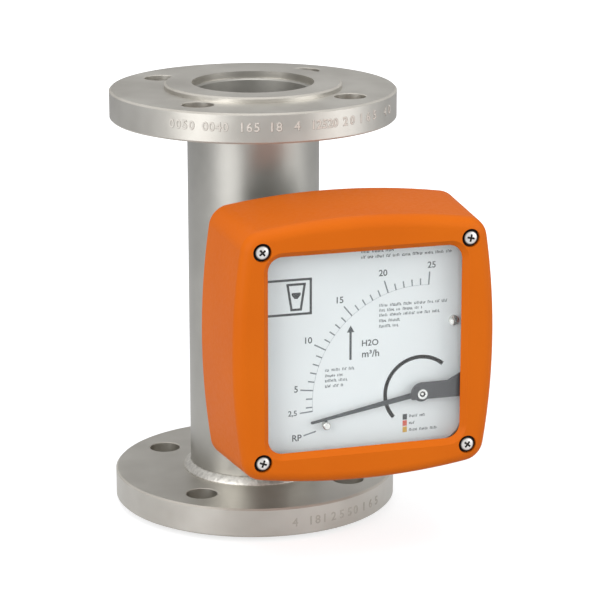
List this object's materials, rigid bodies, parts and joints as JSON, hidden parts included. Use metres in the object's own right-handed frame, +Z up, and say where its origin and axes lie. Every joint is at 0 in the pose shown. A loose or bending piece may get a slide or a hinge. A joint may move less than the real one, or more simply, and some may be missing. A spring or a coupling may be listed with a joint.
{
  "type": "variable-area flow meter",
  "caption": "All-metal variable-area flow meter: flanged vertical tube with a float inside, and a square orange indicator with a magnetically driven pointer behind glass.",
  "frame": {"origin": "centre of the bore at the lower flange's sealing face", "axes": "+Z up the measuring tube from the inlet to the outlet, -Y out of the dial, +X to the right of the dial"},
  "size_m": [0.1842, 0.2187, 0.25],
  "materials": {
    "flange_steel": "pickled and turned stainless steel, satin",
    "tube_steel": "pickled stainless tube, matt",
    "weld_steel": "brushed weld bead",
    "insert_steel": "turned stainless steel",
    "guide_bush": "turned PTFE",
    "spring_steel": "spring steel",
    "float_steel": "turned stainless steel, fine",
    "magnet": "sintered magnet, dark",
    "bracket_steel": "folded stainless plate, pickled",
    "fastener_steel": "bright screws",
    "base_casting": "sand-grey coated casting",
    "hood_coat": "orange powder coat on an aluminium casting",
    "seal_rubber": "black rubber",
    "window_glass": "clear float glass",
    "frame_steel": "zinc plated sheet",
    "dial_plate": "printed white aluminium plate, satin",
    "post_brass": "turned brass",
    "bridge_coat": "dark grey coated sheet",
    "pointer_coat": "thin sheet, dark grey coat",
    "bearing_steel": "polished bush",
    "disc_aluminium": "rolled sheet"
  },
  "bodies": {
    "meter_body": {"lower_flange": "flange_steel", "upper_flange": "flange_steel", "measuring_tube": "tube_steel", "lower_weld": "weld_steel", "upper_weld": "weld_steel", "metering_cone": "insert_steel", "lower_guide": "insert_steel", "upper_guide": "insert_steel", "lower_guide_bush": "guide_bush", "upper_guide_bush": "guide_bush", "lower_snap_ring": "spring_steel", "upper_snap_ring": "spring_steel", "mounting_bracket": "bracket_steel", "bracket_weld": "weld_steel", "bracket_screws": "fastener_steel", "base_plate": "base_casting", "hood_gasket": "seal_rubber", "hood": "hood_coat", "cover_screws": "fastener_steel", "cover_screw_seals": "seal_rubber", "window_gasket": "seal_rubber", "window": "window_glass", "window_frame": "frame_steel", "window_frame_screws": "fastener_steel", "dial_plate": "dial_plate", "dial_posts": "post_brass", "dial_screws": "fastener_steel", "stop_pin": "fastener_steel", "bearing_bridge": "bridge_coat", "bridge_screws": "fastener_steel", "front_bearing": "bearing_steel", "mechanism_plate": "frame_steel", "mechanism_posts": "post_brass", "mechanism_screws": "fastener_steel", "rear_bearing": "post_brass", "brake_yoke": "frame_steel", "brake_magnets": "magnet"},
    "float": {"float_rod": "float_steel", "float_body": "float_steel", "float_magnet": "magnet", "float_cap": "float_steel", "lower_stop_sleeve": "float_steel", "upper_stop_sleeve": "float_steel"},
    "pointer": {"pointer": "pointer_coat", "pointer_hub": "pointer_coat", "pointer_shaft": "fastener_steel", "damping_disc": "disc_aluminium", "magnet_carrier": "disc_aluminium", "follower_magnet": "magnet", "counterweight": "post_brass"}
  },
  "joints": [
    {"name": "float_slide", "type": "slide", "parent": "meter_body", "child": "float", "axis": [0, 0, 1], "range_m": [0, 0.045]},
    {"name": "pointer_swing", "type": "hinge", "parent": "meter_body", "child": "pointer", "pos_m": [0.0594, -0.1, 0.0955], "axis": [0, 1, 0], "range_deg": [0, 105]}
  ],
  "couplings": [
    {"joint": "pointer_swing", "follows": "float_slide", "rad_per_m": 40.7}
  ]
}
